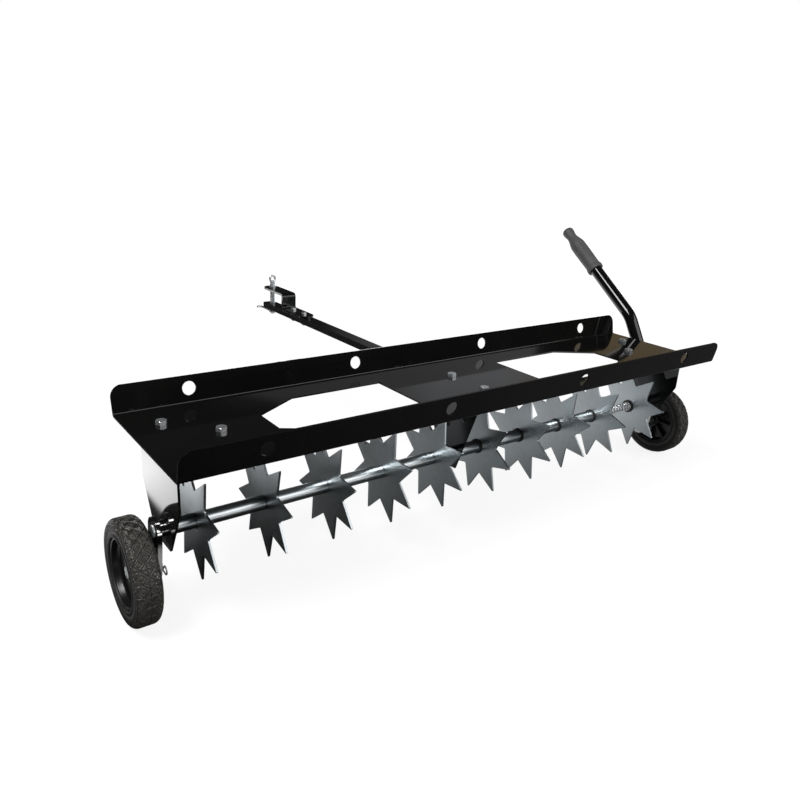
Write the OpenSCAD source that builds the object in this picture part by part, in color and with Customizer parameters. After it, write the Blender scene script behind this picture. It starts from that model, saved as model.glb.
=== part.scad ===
// Tow behind spike aerator, one metre wide, standing on its transport wheels.
// X runs along the rod to the lever side, Y forward to the drawbar, Z up.
// The origin is on the ground, below the middle of the whole machine.

/* [Tray] */
// Length of the tray
tray_l = 1000; // [960:10:1100]
// Width of the tray's floor, fold to fold
tray_w = 220; // [200:5:260]
// Thickness of the tray's sheet
tray_t = 2.5; // [2:0.5:4]
// Inside radius of the tray's folds
fold_r = 2.5; // [1:0.5:4]
// Height of each flange, along its slope
flange_h = 38; // [34:1:60]
// Outward lean of the flanges, in degrees
flange_lean = 11; // [0:1:20]
// Corner radius at the ends of the flanges
flange_corner_r = 16; // [4:1:18]
// Diameter of the tie-down holes in the flanges
tie_hole_d = 19; // [10:1:22]
// Height of the tie-down holes above the fold
tie_hole_up = 20; // [14:1:24]
// Distance between the tie-down holes
tie_hole_pitch = 265.8; // [240:0.2:290]
// Distance from the middle to each window
window_in = 121; // [80:1:140]
// Length of each window
window_l = 217; // [150:1:230]
// Width of each window
window_w = 133; // [80:1:150]
// Width of each window at its narrow end
window_tip_w = 53; // [30:1:70]
// Length of each window's narrowing part
window_taper_l = 68; // [30:1:80]

/* [End plates and hanger] */
// Distance from the tray's end to the end plate
plate_inset = 17; // [14:1:30]
// Thickness of the plates
plate_t = 3; // [2:0.5:4]
// Inside radius of the plates' folds
plate_fold_r = 3; // [2:0.5:5]
// Width of the plates at the top
plate_w = 124; // [116:1:150]
// Depth at which the end plates begin to narrow
plate_shoulder = 65; // [40:1:80]
// Width of the end plates at the bottom
plate_tip_w = 52; // [36:1:60]
// How far the plates reach below the rod
plate_below = 18; // [15:1:24]
// Length of the end plates' feet under the tray
foot_l = 95; // [86:1:110]
// Radius of the nose of the end plates' feet
foot_nose_r = 15; // [12:1:20]
// Length of the full-width part of the end plates' feet
foot_full_l = 37; // [30:1:40]
// Distance from the end plate to its outer bolts
foot_bolt_in = 25; // [16:1:26]
// Distance from the plates' edges to the outer bolts of their feet
foot_bolt_edge = 7; // [6.5:0.5:12]
// Place of the centre hanger, from the middle of the tray
hanger_x = -28; // [-32:1:-22]
// Depth at which the hanger begins to narrow
hanger_shoulder = 12; // [10:1:80]
// Width of the hanger at the bottom
hanger_tip_w = 38; // [30:1:50]
// Length of the hanger's foot under the tray
hanger_foot_l = 44; // [42:1:60]
// Distance from the hanger's edges to its bolts
hanger_bolt_edge = 24; // [18:1:28]

/* [Rod and stars] */
// Depth of the rod's axis below the tray's floor
rod_drop = 113; // [100:1:130]
// Diameter of the rod
rod_d = 12; // [10:0.5:14]
// Width across the flats at the rod's ends
rod_flat_w = 9.5; // [8:0.5:9.5]
// Radius of the stars at their tips
star_r = 77; // [70:1:84]
// Radius of the stars at their valleys
star_valley_r = 44; // [38:0.5:52]
// Spikes on each star
star_spikes = 8; // [6:1:12]
// Thickness of the stars
star_t = 3; // [2:0.5:5]
// Width of the blunt tips of the spikes
star_tip_w = 1.5; // [1:0.5:4]
// Radius in the valleys of the stars
star_valley_fillet = 2; // [1:0.5:3]
// Outer diameter of the spacer tubes
spacer_d = 20; // [17:0.2:22]
// Space between the left end plate and the first star
left_space = 36.5; // [20:0.5:50]
// Space between the last star and the right end plate
right_space = 46.5; // [20:0.5:50]
// Space for the spring between the last two stars
spring_space = 110; // [80:1:120]
// Outer diameter of the washers on the rod
washer_d = 24; // [22:1:30]
// Thickness of the washers on the rod
washer_t = 2; // [1:0.5:3]
// First star that has a washer on its left
first_washered_star = 6; // [6:1:9]
// Outer diameter of the spring
spring_d = 17; // [16.5:0.1:19]
// Diameter of the spring's wire
spring_wire = 1.8; // [1.4:0.1:2]
// Curls in the spring
spring_curls = 13; // [8:1:16]

/* [Cranks and wheels] */
// Distance from the rod to the wheel axle
crank_l = 52; // [50:1:60]
// Forward lean of the cranks, in degrees
crank_lean = 9.2; // [0:0.2:16]
// Width of the crank arms
arm_w = 36; // [34:1:42]
// Thickness of the crank arms
arm_t = 5.5; // [4:0.5:6]
// Space between the end plate and the crank arm
arm_space = 5.5; // [5:0.5:7]
// Outer diameter of the arms' bosses
boss_d = 22; // [20:1:26]
// Diameter of the wheel axles
axle_d = 12; // [10:0.5:13]
// Radius of the tyres
tyre_r = 68; // [62:1:72]
// Width of the wheels
wheel_w = 33; // [30:1:42]
// Bevel on the tyres' shoulders
tyre_bevel = 5.5; // [3:0.5:9]
// Radius of the rims
rim_r = 45; // [40:1:50]
// Wall thickness of the rims
rim_wall = 3; // [2:0.5:4]
// Depth of the dish on the outer side of the rims
rim_dish = 13; // [10:1:15]
// Thickness of the rims' web
rim_web = 5; // [3:0.5:6]
// Outer diameter of the hubs
hub_d = 27; // [24:1:32]
// Outer diameter of the wheel bushes
wheel_bush_d = 17; // [16:0.5:19]
// Space between the left arm and its wheel
left_wheel_space = 8; // [6:0.5:16]
// Space between the right arm and its wheel
right_wheel_space = 38; // [27:0.5:46]

/* [Lever] */
// Diameter of the lever's tube
lever_d = 25; // [22:0.5:26]
// Wall thickness of the lever's tube
lever_wall = 1.5; // [1:0.5:2.5]
// Slope of the lever's lower part, in degrees
lever_low_slope = 60; // [54:1:66]
// Slope of the lever's upper part, in degrees
lever_top_slope = 37.5; // [30:0.5:50]
// Length of the lever's lower part, from rod to bend
lever_low_l = 175; // [165:1:200]
// Length of the lever's upper part, from bend to tip
lever_top_l = 242; // [200:1:280]
// Radius of the lever's bend
lever_bend_r = 70; // [50:1:90]
// Distance from the rod to the tube's lower end
lever_start = 26; // [25:1:32]
// Thickness of the lever's foot
lever_foot_t = 6; // [5:0.5:7]
// Space between the right arm and the lever's foot
lever_space = 5; // [4:0.5:6]
// Length of the lever's foot, from the rod
lever_foot_l = 60; // [48:1:66]
// Length of the grip
grip_l = 115; // [100:1:130]
// Largest diameter of the grip
grip_d = 32; // [30:0.5:34]
// Diameter of the grip's flared tip
grip_tip_d = 24; // [21:0.5:27]
// Diameter of the grip's neck behind the tip
grip_neck_d = 20; // [18:0.5:24]
// Distance from the grip's tip to its neck
grip_neck_l = 20; // [14:1:24]
// Diameter of the grip's collar
grip_collar_d = 34; // [33:0.5:38]
// Length of solid grip beyond the tube
grip_solid_l = 35; // [30:1:45]

/* [Drawbar and hitch] */
// Width of the drawbar's tube
bar_w = 25; // [20:1:28]
// Height of the drawbar's tube
bar_h = 12; // [10:1:14]
// Wall thickness of the drawbar's tube
bar_wall = 1.5; // [1:0.5:2]
// How far the drawbar reaches behind the rod
bar_back = 60; // [52:1:80]
// How far the drawbar reaches in front of the rod
bar_front = 669; // [600:1:760]
// Thickness of the plugs' heads in the drawbar's ends
plug_t = 3; // [2:0.5:5]
// Distance from the drawbar's front end to the pin
pin_back = 18; // [16:1:30]
// Diameter of the hitch pin
pin_d = 11.5; // [10:0.5:12.5]
// Width of the hitch strap
strap_w = 32; // [30:1:36]
// Thickness of the hitch strap
strap_t = 5; // [4:0.5:6]
// Opening between the drawbar and the strap
jaw_h = 30.5; // [24:0.5:40]
// Distance from the pin to the strap's upright
jaw_l = 76; // [50:1:90]
// Length of the strap's foot on the drawbar
strap_foot_l = 88; // [80:1:110]
// Distance from the strap's upright to its nearer bolt
strap_bolt_back = 20; // [16:1:26]
// Distance between the two bolts of the strap
strap_bolt_gap = 44; // [36:1:50]
// Inside radius of the strap's bends
strap_fold_r = 3; // [2:0.5:4]
// Length of the pin between its collar and its eye
pin_neck_l = 7; // [4:1:12]
// Outer diameter of the pin's eye
eye_d = 17; // [16:0.5:22]
// Wire diameter of the hitch clip
clip_wire = 3; // [2:0.5:3]
// Length of the hitch clip in front of the pin
clip_reach = 58; // [40:1:70]
// Length of the hitch clip behind the pin
clip_tail = 14; // [12:1:20]
// Lift that the hitch clip leaves to the pin
clip_drop = 4; // [2:0.5:6]

/* [Fasteners] */
// Thread diameter of the tray's bolts
tray_bolt_d = 8; // [6:1:8]
// Thread diameter of the hitch bolts
hitch_bolt_d = 6; // [5:1:6]
// Wire diameter of the axle clips
axle_clip_wire = 2; // [1.6:0.2:2.4]
// Length of the axle clips' straight legs on their loops' side
axle_clip_reach = 24; // [12:1:30]
// Length of the axle clips' straight legs on the other side
axle_clip_tail = 12; // [10:1:14]
// Radial clearance of turning fits
run = 0.1; // [0.05:0.05:0.1]
// End clearance between pieces that turn
slack = 0.3; // [0.2:0.1:0.5]

/* [Hidden] */
$fn = 64;

enamel = "#17181a";
zinc = "#b9bdc1";
galvanised = "#8e9496";
rubber = "#262627";
plastic = "#1c1c1e";

// Turn of each star about the rod, as the machine stands in the photograph
star_turn = [30.4, 35.5, 27.6, 22.2, 18.7, 8.5, 14.5, 27.0, 42.0, 36.0];

// Places along X, from the middle of the tray
plate_x = tray_l / 2 - plate_inset;
plate_in = plate_x - plate_t;
arm_in = plate_x + arm_space;
arm_out = arm_in + arm_t;
lever_foot_x = arm_out + lever_space;
tube_sink = 1;
lever_x = lever_foot_x + lever_foot_t - tube_sink + lever_d / 2;
star_count = len(star_turn);
spring_star = star_count - 1;
first_star_x = -plate_in + left_space + star_t / 2;
last_star_x = plate_in - right_space - star_t / 2;
star_pitch = (last_star_x - spring_space - star_t - first_star_x) / (spring_star - 1);
function star_x(i) = i == star_count ? last_star_x : first_star_x + (i - 1) * star_pitch;
// Star to the left of the hanger
hanger_star = floor((hanger_x - first_star_x) / star_pitch) + 1;

// Depths below the tray's floor
foot_top = -tray_t;
bar_top = foot_top - plate_t;
bar_mid = bar_top - bar_h / 2;
bar_low = bar_top - bar_h;
strap_top = bar_top + jaw_h + strap_t;

// Sizes along Y
flange_out = tray_w / 2 + flange_h * sin(flange_lean) + tray_t * cos(flange_lean);
pin_y = bar_front - pin_back;
upright_y = pin_y - jaw_l;
strap_back = upright_y - strap_foot_l;
hitch_bolt_y = [upright_y - strap_bolt_back, upright_y - strap_bolt_back - strap_bolt_gap];
clip_z = bar_low - slack - clip_drop - clip_wire / 2;
clip_front = pin_y + clip_reach;

// Shift from the middle of the tray's floor to the ground
ground_drop = rod_drop + crank_l * cos(crank_lean) + tyre_r;
shift_x = (left_wheel_space - right_wheel_space) / 2;
shift_y = (flange_out - clip_front) / 2;

foot_bolt_x = plate_x - foot_bolt_in;
nose_bolt_x = plate_x - foot_l + foot_nose_r;
foot_bolt_y = plate_w / 2 - foot_bolt_edge;
hanger_bolt_y = plate_w / 2 - hanger_bolt_edge;
bolt_play = 0.5;
thread_play = 0.05;
bush_wall = 2;
bush_flange_t = 2;
plate_bush_d = rod_d + 2 * bush_wall;
bush_flange_d = rod_d + 10;
rod_hole_d = rod_d + 2 * run;
nut_h = 7;
hitch_nut_h = 5;
thread_end = 3;
rod_end = lever_foot_x + lever_foot_t + nut_h + 2;
rod_left_end = arm_out + 1.5;
grip_bore = lever_d + 2 * thread_play;
pin_hole_d = pin_d + 2 * slack;

// Moves a piece drawn from the middle of the tray's floor to its place above the ground
module in_place() {
    translate([shift_x, shift_y, ground_drop]) children();
}

// Draws along X a flat shape given in Y and Z
module along_x(x, t) {
    translate([x, 0, 0]) rotate([90, 0, 90]) linear_extrude(t) children();
}

// Round bar along X
module rod_x(x1, x2, d) {
    translate([x1, 0, 0]) rotate([0, 90, 0]) cylinder(d = d, h = x2 - x1);
}

module tube_x(x1, x2, d, bore) {
    difference() {
        rod_x(x1, x2, d);
        rod_x(x1 - 1, x2 + 1, bore);
    }
}

// Mirrors its children to the left side when side is -1
module on_side(side) {
    if (side > 0) children();
    else mirror([1, 0, 0]) children();
}

module on_rod() {
    in_place() translate([0, 0, -rod_drop]) children();
}

module on_crank() {
    on_rod() rotate([crank_lean, 0, 0]) children();
}

// Width across flats of a hexagon: 13 on an 8 mm thread and 10 on a 6 mm one
function hex_w(d) = d == 6 ? 10 : d * 1.625;

// Hexagon bolt whose head sits on Z = 0 and whose shank points down
module bolt(d, l) {
    head_h = d * 0.66;
    chamfer_r = hex_w(d) / 2 + 0.1;
    intersection() {
        cylinder(d = hex_w(d) / cos(30), h = head_h, $fn = 6);
        cylinder(r1 = chamfer_r + head_h + 0.3, r2 = chamfer_r, h = head_h);
    }
    translate([0, 0, -l]) cylinder(d = d, h = l);
}

// Hexagon nut that hangs from Z = 0
module nut(d, h) {
    translate([0, 0, -h]) difference() {
        cylinder(d = hex_w(d) / cos(30), h = h, $fn = 6);
        translate([0, 0, -1]) cylinder(d = d + 2 * thread_play, h = h + 2);
    }
}

// Tray

module window_shape() {
    far = window_in + window_l;
    polygon([
        [window_in, -window_w / 2],
        [far - window_taper_l, -window_w / 2],
        [far, -window_tip_w / 2],
        [far, window_tip_w / 2],
        [far - window_taper_l, window_w / 2],
        [window_in, window_w / 2]
    ]);
}

module tray_bolt_places() {
    for (side = [-1, 1]) {
        for (end = [-1, 1]) translate([side * foot_bolt_x, end * foot_bolt_y, 0]) children();
        translate([side * nose_bolt_x, 0, 0]) children();
    }
}

module hanger_bolt_places() {
    for (end = [-1, 1]) translate([0, end * hanger_bolt_y, 0]) children();
}

// Half of the tray's section in Y and Z, from the middle to the top of a flange.
// The fold's round is drawn in short straight steps.
fold_steps = 6;
fold_angle = 90 - flange_lean;
fold_run = fold_r * tan(fold_angle / 2);
function fold_arc(r) = [for (k = [0 : fold_steps]) let (a = fold_angle * k / fold_steps)
    [tray_w / 2 - fold_run + r * sin(a), fold_r - r * cos(a)]];
flange_top = [tray_w / 2 + flange_h * sin(flange_lean), flange_h * cos(flange_lean)];
half_section = concat(
    [[0, -tray_t]],
    fold_arc(fold_r + tray_t),
    [flange_top + tray_t * [cos(flange_lean), -sin(flange_lean)], flange_top],
    [for (k = [fold_steps : -1 : 0]) fold_arc(fold_r)[k]],
    [[0, 0]]
);

// Moves to a flange's inner face: X along the tray, Y up the slope, Z inward
module on_flange() {
    translate([0, tray_w / 2, 0]) rotate([fold_angle, 0, 0]) children();
}

module flange_cuts() {
    r = flange_corner_r;
    translate([0, 0, -2 * tray_t]) linear_extrude(3 * tray_t) {
        for (i = [-1.5 : 1 : 1.5])
            translate([i * tie_hole_pitch, tie_hole_up]) circle(d = tie_hole_d);
        for (side = [-1, 1]) difference() {
            translate([side * tray_l / 2 - r, flange_h - r]) square([2 * r, r + 1]);
            translate([side * (tray_l / 2 - r), flange_h - r]) circle(r = r);
            translate([side * (tray_l / 2 - 1.5 * r) - r / 2, flange_h - 2 * r]) square([r, 4 * r]);
        }
    }
}

module tray() {
    color(enamel) in_place() difference() {
        for (front = [0, 1]) mirror([0, front, 0]) along_x(-tray_l / 2, tray_l) polygon(half_section);
        translate([0, 0, -tray_t - 1]) linear_extrude(tray_t + 2) {
            window_shape();
            mirror([1, 0]) window_shape();
            tray_bolt_places() circle(d = tray_bolt_d + 2 * bolt_play);
            hanger_bolt_places() circle(d = tray_bolt_d + 2 * bolt_play);
        }
        for (front = [0, 1]) mirror([0, front, 0]) on_flange() flange_cuts();
    }
}

module tray_bolts() {
    through = tray_t + plate_t + nut_h + thread_end;
    color(zinc) in_place() {
        tray_bolt_places() bolt(tray_bolt_d, through);
        hanger_bolt_places() bolt(tray_bolt_d, through + bar_h);
    }
}

module tray_nuts() {
    color(zinc) in_place() {
        translate([0, 0, bar_top]) tray_bolt_places() nut(tray_bolt_d, nut_h);
        translate([0, 0, bar_low]) hanger_bolt_places() nut(tray_bolt_d, nut_h);
    }
}

// End plates and centre hanger

// Upright plate from the fold down past the rod, as a flat shape in Y and Z
module plate_shape(tip_w, shoulder) {
    low = -rod_drop - plate_below;
    top = foot_top - plate_t - plate_fold_r;
    difference() {
        polygon([
            [-plate_w / 2, top], [-plate_w / 2, -shoulder],
            [-tip_w / 2, low], [tip_w / 2, low],
            [plate_w / 2, -shoulder], [plate_w / 2, top]
        ]);
        translate([0, -rod_drop]) circle(d = plate_bush_d + 2 * thread_play);
    }
}

// Fold between an upright plate whose outer face is at X = 0 and a foot that runs to -X
module plate_fold() {
    r = plate_fold_r + plate_t;
    translate([-r, plate_w / 2, foot_top - r]) rotate([90, 0, 0])
        rotate_extrude(angle = 90) translate([plate_fold_r, 0]) square([plate_t, plate_w]);
}

module end_foot_shape() {
    inner = plate_x - plate_fold_r - plate_t;
    full = plate_x - foot_full_l;
    difference() {
        union() {
            polygon([
                [inner, -plate_w / 2], [inner, plate_w / 2],
                [full, plate_w / 2], [nose_bolt_x, foot_nose_r],
                [nose_bolt_x, -foot_nose_r], [full, -plate_w / 2]
            ]);
            translate([nose_bolt_x, 0]) circle(r = foot_nose_r);
        }
        for (end = [-1, 1])
            translate([foot_bolt_x, end * foot_bolt_y]) circle(d = tray_bolt_d + 2 * bolt_play);
        translate([nose_bolt_x, 0]) circle(d = tray_bolt_d + 2 * bolt_play);
    }
}

module end_plate(side) {
    color(enamel) in_place() on_side(side) {
        along_x(plate_in, plate_t) plate_shape(plate_tip_w, plate_shoulder);
        translate([plate_x, 0, 0]) plate_fold();
        translate([0, 0, bar_top]) linear_extrude(plate_t) end_foot_shape();
    }
}

module end_plate_left() { end_plate(-1); }
module end_plate_right() { end_plate(1); }

module centre_hanger() {
    left = hanger_x - plate_t / 2;
    inner = left + plate_fold_r + plate_t;
    color(enamel) in_place() {
        along_x(left, plate_t) plate_shape(hanger_tip_w, hanger_shoulder);
        translate([left, 0, 0]) mirror([1, 0, 0]) plate_fold();
        translate([0, 0, bar_top]) linear_extrude(plate_t) difference() {
            translate([inner, -plate_w / 2]) square([left + hanger_foot_l - inner, plate_w]);
            hanger_bolt_places() circle(d = tray_bolt_d + 2 * bolt_play);
        }
    }
}

// Flanged bush that fills a plate's hole, with its flange on the -X side of the plate's face at x
module bush(x) {
    difference() {
        union() {
            rod_x(x - bush_flange_t, x, bush_flange_d);
            rod_x(x, x + plate_t, plate_bush_d);
        }
        rod_x(x - bush_flange_t - 1, x + plate_t + 1, rod_hole_d);
    }
}

module plate_bush(side) {
    color(plastic) on_rod() on_side(side) bush(plate_in);
}

module plate_bush_left() { plate_bush(-1); }
module plate_bush_right() { plate_bush(1); }

module hanger_bush() {
    color(plastic) on_rod() bush(hanger_x - plate_t / 2);
}

// Drawbar and hitch

module hitch_holes(low, high) {
    for (y = hitch_bolt_y)
        translate([0, y, low]) cylinder(d = hitch_bolt_d + 2 * bolt_play, h = high - low);
    translate([0, pin_y, low]) cylinder(d = pin_hole_d, h = high - low);
}

module tow_tube() {
    color(enamel) in_place() difference() {
        translate([-bar_w / 2, -bar_back, bar_low]) cube([bar_w, bar_back + bar_front, bar_h]);
        translate([bar_wall - bar_w / 2, -bar_back - 1, bar_low + bar_wall])
            cube([bar_w - 2 * bar_wall, bar_back + bar_front + 2, bar_h - 2 * bar_wall]);
        hitch_holes(bar_low - 1, bar_top + 1);
        translate([0, 0, bar_low - 1]) hanger_bolt_places()
            cylinder(d = tray_bolt_d + 2 * bolt_play, h = bar_h + 2);
    }
}

module tube_plugs() {
    plug_w = bar_w - 2 * (bar_wall + thread_play);
    plug_h = bar_h - 2 * (bar_wall + thread_play);
    plug_l = 7;
    color(plastic) in_place() for (end = [[bar_front, 1], [-bar_back, -1]])
        translate([0, end[0], bar_mid]) mirror([0, end[1] > 0 ? 0 : 1, 0]) {
            translate([-bar_w / 2, 0, -bar_h / 2]) cube([bar_w, plug_t, bar_h]);
            translate([-plug_w / 2, -plug_l, -plug_h / 2]) cube([plug_w, plug_l, plug_h]);
        }
}

// Side view of the hitch strap: foot, upright and arm with a round bend between them
module strap_side() {
    r = strap_fold_r;
    out = strap_fold_r + strap_t;
    arm_low = bar_top + jaw_h;
    difference() {
        union() {
            translate([strap_back, bar_top]) square([upright_y - r - strap_back, strap_t]);
            translate([upright_y - r, bar_top + out]) intersection() {
                circle(r = out);
                translate([0, -out]) square(out);
            }
            translate([upright_y, bar_top + out]) square([strap_t, arm_low - r - bar_top - out]);
            translate([upright_y + out, arm_low - r]) intersection() {
                circle(r = out);
                translate([-out, 0]) square(out);
            }
            translate([upright_y + out, arm_low]) square([bar_front + plug_t - upright_y - out, strap_t]);
        }
        translate([upright_y - r, bar_top + out]) circle(r = r);
        translate([upright_y + out, arm_low - r]) circle(r = r);
    }
}

// The strap seen from above: its foot and its arm have round ends
module strap_plan() {
    front = bar_front + plug_t - strap_w / 2;
    back = strap_back + strap_w / 2;
    translate([-strap_w / 2, back]) square([strap_w, front - back]);
    translate([0, front]) circle(d = strap_w);
    translate([0, back]) circle(d = strap_w);
}

module hitch_strap() {
    color(enamel) in_place() difference() {
        intersection() {
            translate([0, 0, bar_low]) linear_extrude(jaw_h + bar_h + 2 * strap_t) strap_plan();
            along_x(-strap_w / 2 - 1, strap_w + 2) strap_side();
        }
        hitch_holes(bar_top - 1, strap_top + 1);
    }
}

module hitch_bolts() {
    color(zinc) in_place() for (y = hitch_bolt_y)
        translate([0, y, bar_top + strap_t])
            bolt(hitch_bolt_d, strap_t + bar_h + hitch_nut_h + thread_end - 1);
}

module hitch_nuts() {
    color(zinc) in_place() for (y = hitch_bolt_y)
        translate([0, y, bar_low]) nut(hitch_bolt_d, hitch_nut_h);
}

module hitch_pin() {
    eye_wire = 5;
    collar_h = 3;
    chamfer = 2;
    low = clip_z - 3 * chamfer;
    eye_z = strap_top + collar_h + pin_neck_l + eye_d / 2;
    color(zinc) in_place() translate([0, pin_y, 0]) difference() {
        union() {
            translate([0, 0, low + chamfer])
                cylinder(d = pin_d, h = strap_top + collar_h + pin_neck_l + 1 - low - chamfer);
            translate([0, 0, low]) cylinder(d1 = pin_d - 2 * chamfer, d2 = pin_d, h = chamfer);
            translate([0, 0, strap_top]) cylinder(d = eye_d - 2, h = collar_h);
            translate([0, 0, eye_z]) rotate([90, 0, 0]) rotate_extrude()
                translate([(eye_d - eye_wire) / 2, 0]) circle(d = eye_wire, $fn = 24);
        }
        translate([0, 0, clip_z]) rotate([90, 0, 0])
            cylinder(d = clip_wire + 2 * slack, h = pin_d + 2, center = true);
    }
}

// Distance between the legs of a hairpin whose second leg lies beside the pin that it holds
function leg_gap(wire, held_d) = held_d / 2 + wire / 2 + 0.5;

// Hairpin of wire in the X-Y plane: its straight leg lies on Y = 0 and runs from X = -tail to
// X = front, where a half loop turns it into a second leg, which ends a little sooner
module hairpin(wire, held_d, front, tail) {
    gap = leg_gap(wire, held_d);
    second = -0.72 * tail;
    translate([-tail, 0, 0]) rotate([0, 90, 0]) cylinder(d = wire, h = front + tail, $fn = 24);
    translate([front, gap / 2, 0]) rotate([0, 0, -90]) rotate_extrude(angle = 180)
        translate([gap / 2, 0]) circle(d = wire, $fn = 24);
    translate([second, gap, 0]) rotate([0, 90, 0])
        cylinder(d = wire, h = front - second, $fn = 24);
}

module hitch_clip() {
    loop_r = (leg_gap(clip_wire, pin_d) + clip_wire) / 2;
    color(zinc) in_place() translate([0, pin_y, clip_z]) rotate([0, 0, 90])
        hairpin(clip_wire, pin_d, clip_reach - loop_r, clip_tail);
}

// Rod, stars and what lies between them

// Round ends of the rod with two flats, as a flat shape
module double_d(play) {
    intersection() {
        circle(d = rod_d + 2 * play);
        square([rod_flat_w + 2 * play, rod_d + 2], center = true);
    }
}

module cross_rod() {
    color(zinc) on_crank() {
        rod_x(-arm_in, arm_in, rod_d);
        along_x(arm_in, lever_foot_x + lever_foot_t - arm_in) double_d(0);
        rod_x(lever_foot_x + lever_foot_t, rod_end, rod_flat_w);
        along_x(-rod_left_end, rod_left_end - arm_in) double_d(0);
    }
}

module rod_nut() {
    color(zinc) on_crank() translate([lever_foot_x + lever_foot_t, 0, 0]) rotate([0, -90, 0])
        nut(rod_flat_w, nut_h);
}

// Points of the spike at angle a: the fillet of the valley before it, then its blunt tip
spike_half = 180 / star_spikes;
spike_valley = star_valley_r * [cos(spike_half), -sin(spike_half)];
spike_tip = [star_r, -star_tip_w / 2];
spike_open = spike_half + atan2(spike_tip[1] - spike_valley[1], spike_tip[0] - spike_valley[0]);
valley_centre_r = star_valley_r + star_valley_fillet / sin(spike_open);
function turned(p, a) = [p[0] * cos(a) - p[1] * sin(a), p[0] * sin(a) + p[1] * cos(a)];
function spike_points(a) = concat(
    [for (k = [2 : -1 : -2]) let (b = a - spike_half + 180 + k * (90 - spike_open) / 2)
        valley_centre_r * [cos(a - spike_half), sin(a - spike_half)]
        + star_valley_fillet * [cos(b), sin(b)]],
    [turned(spike_tip, a), turned([star_r, star_tip_w / 2], a)]
);

module star(i) {
    color(galvanised) on_rod() along_x(star_x(i) - star_t / 2, star_t) difference() {
        polygon([for (s = [0 : star_spikes - 1])
            each spike_points(star_turn[i - 1] + s * 360 / star_spikes)]);
        circle(d = rod_hole_d);
    }
}

module star_1() { star(1); }
module star_2() { star(2); }
module star_3() { star(3); }
module star_4() { star(4); }
module star_5() { star(5); }
module star_6() { star(6); }
module star_7() { star(7); }
module star_8() { star(8); }
module star_9() { star(9); }
module star_10() { star(10); }

// Ends of what carries each star, with the washers counted in
function left_seat(i) =
    star_x(i) - star_t / 2 - slack - (i >= first_washered_star ? washer_t : 0);
function right_seat(i) = star_x(i) + star_t / 2 + slack;
spring_from = right_seat(spring_star) + washer_t;
spring_to = left_seat(star_count);

module spacer(x1, x2) {
    color(galvanised) on_crank() tube_x(x1, x2, spacer_d, rod_hole_d);
}

hanger_left = hanger_x - plate_t / 2 - bush_flange_t - slack;
hanger_right = hanger_x + plate_t / 2 + slack;
bush_end = plate_in - bush_flange_t - slack;

// Both ends of every spacer tube, from left to right
spacer_ends = concat(
    [[-bush_end, left_seat(1)]],
    [for (i = [1 : hanger_star - 1]) [right_seat(i), left_seat(i + 1)]],
    [[right_seat(hanger_star), hanger_left]],
    [[hanger_right, left_seat(hanger_star + 1)]],
    [for (i = [hanger_star + 1 : spring_star - 1]) [right_seat(i), left_seat(i + 1)]],
    [[right_seat(star_count), bush_end]]
);

module spacer_at(i) { spacer(spacer_ends[i - 1][0], spacer_ends[i - 1][1]); }
module spacer_1() { spacer_at(1); }
module spacer_2() { spacer_at(2); }
module spacer_3() { spacer_at(3); }
module spacer_4() { spacer_at(4); }
module spacer_5() { spacer_at(5); }
module spacer_6() { spacer_at(6); }
module spacer_7() { spacer_at(7); }
module spacer_8() { spacer_at(8); }
module spacer_9() { spacer_at(9); }
module spacer_10() { spacer_at(10); }
module spacer_11() { spacer_at(11); }

module rod_washers() {
    color(rubber) on_crank() {
        for (i = [first_washered_star : star_count])
            tube_x(left_seat(i), left_seat(i) + washer_t, washer_d, rod_hole_d);
        tube_x(right_seat(spring_star), spring_from, washer_d, rod_hole_d);
    }
}

// Closed skin over a row of rings, each a list of equally many points. The points of a ring
// turn left as seen from the next ring.
module skin(rings) {
    n = len(rings[0]);
    last = (len(rings) - 1) * n;
    polyhedron(
        points = [for (ring = rings) each ring],
        faces = concat(
            [for (s = [1 : n - 2]) [0, s, s + 1]],
            [for (k = [0 : n : last - n]) for (s = [0 : n - 1]) each [
                [k + s, k + n + s, k + n + (s + 1) % n],
                [k + s, k + n + (s + 1) % n, k + (s + 1) % n]
            ]],
            [for (s = [1 : n - 2]) [last, last + s + 1, last + s]]
        )
    );
}

// Compression spring: one wire on a helix about the rod, its two ends turned along the rod
spring_r = (spring_d - spring_wire) / 2;
spring_rings = 8 * spring_curls;
spring_sides = 6;
helix_from = spring_from + 2 * spring_wire;
helix_to = spring_to - 2 * spring_wire;
function spring_point(x, a) = [x, spring_r * cos(a), spring_r * sin(a)];
spring_path = concat(
    [spring_point(spring_from, 0), spring_point(helix_from, 0)],
    [for (k = [1 : spring_rings - 1])
        spring_point(helix_from + (helix_to - helix_from) * k / spring_rings, 45 * k)],
    [spring_point(helix_to, 0), spring_point(spring_to, 0)]
);
function unit(v) = v / norm(v);
function spring_ring(k) =
    let (
        last = len(spring_path) - 1,
        p = spring_path[k],
        before = k == 0 ? [1, 0, 0] : unit(p - spring_path[k - 1]),
        after = k == last ? [1, 0, 0] : unit(spring_path[k + 1] - p),
        along = unit(before + after),
        out = [0, p[1], p[2]],
        side = unit(out - (out * along) * along),
        third = cross(along, side),
        stretch = 1 / (along * after)
    )
    [for (s = [0 : spring_sides - 1]) let (b = 360 * s / spring_sides)
        p + spring_wire / 2 * (cos(b) * side + stretch * sin(b) * third)];

module compression_spring() {
    color(zinc) on_crank() skin([for (k = [0 : len(spring_path) - 1]) spring_ring(k)]);
}

// Least gap between the wire's turns, from the distances between points over half a curl apart
spring_gap = min([for (i = [0 : len(spring_path) - 6]) for (j = [i + 5 : min(i + 12, len(spring_path) - 1)])
    norm(spring_path[i] - spring_path[j])]) - spring_wire;
echo(spring_gap = spring_gap);

// Cranks, lever and wheels

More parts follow.
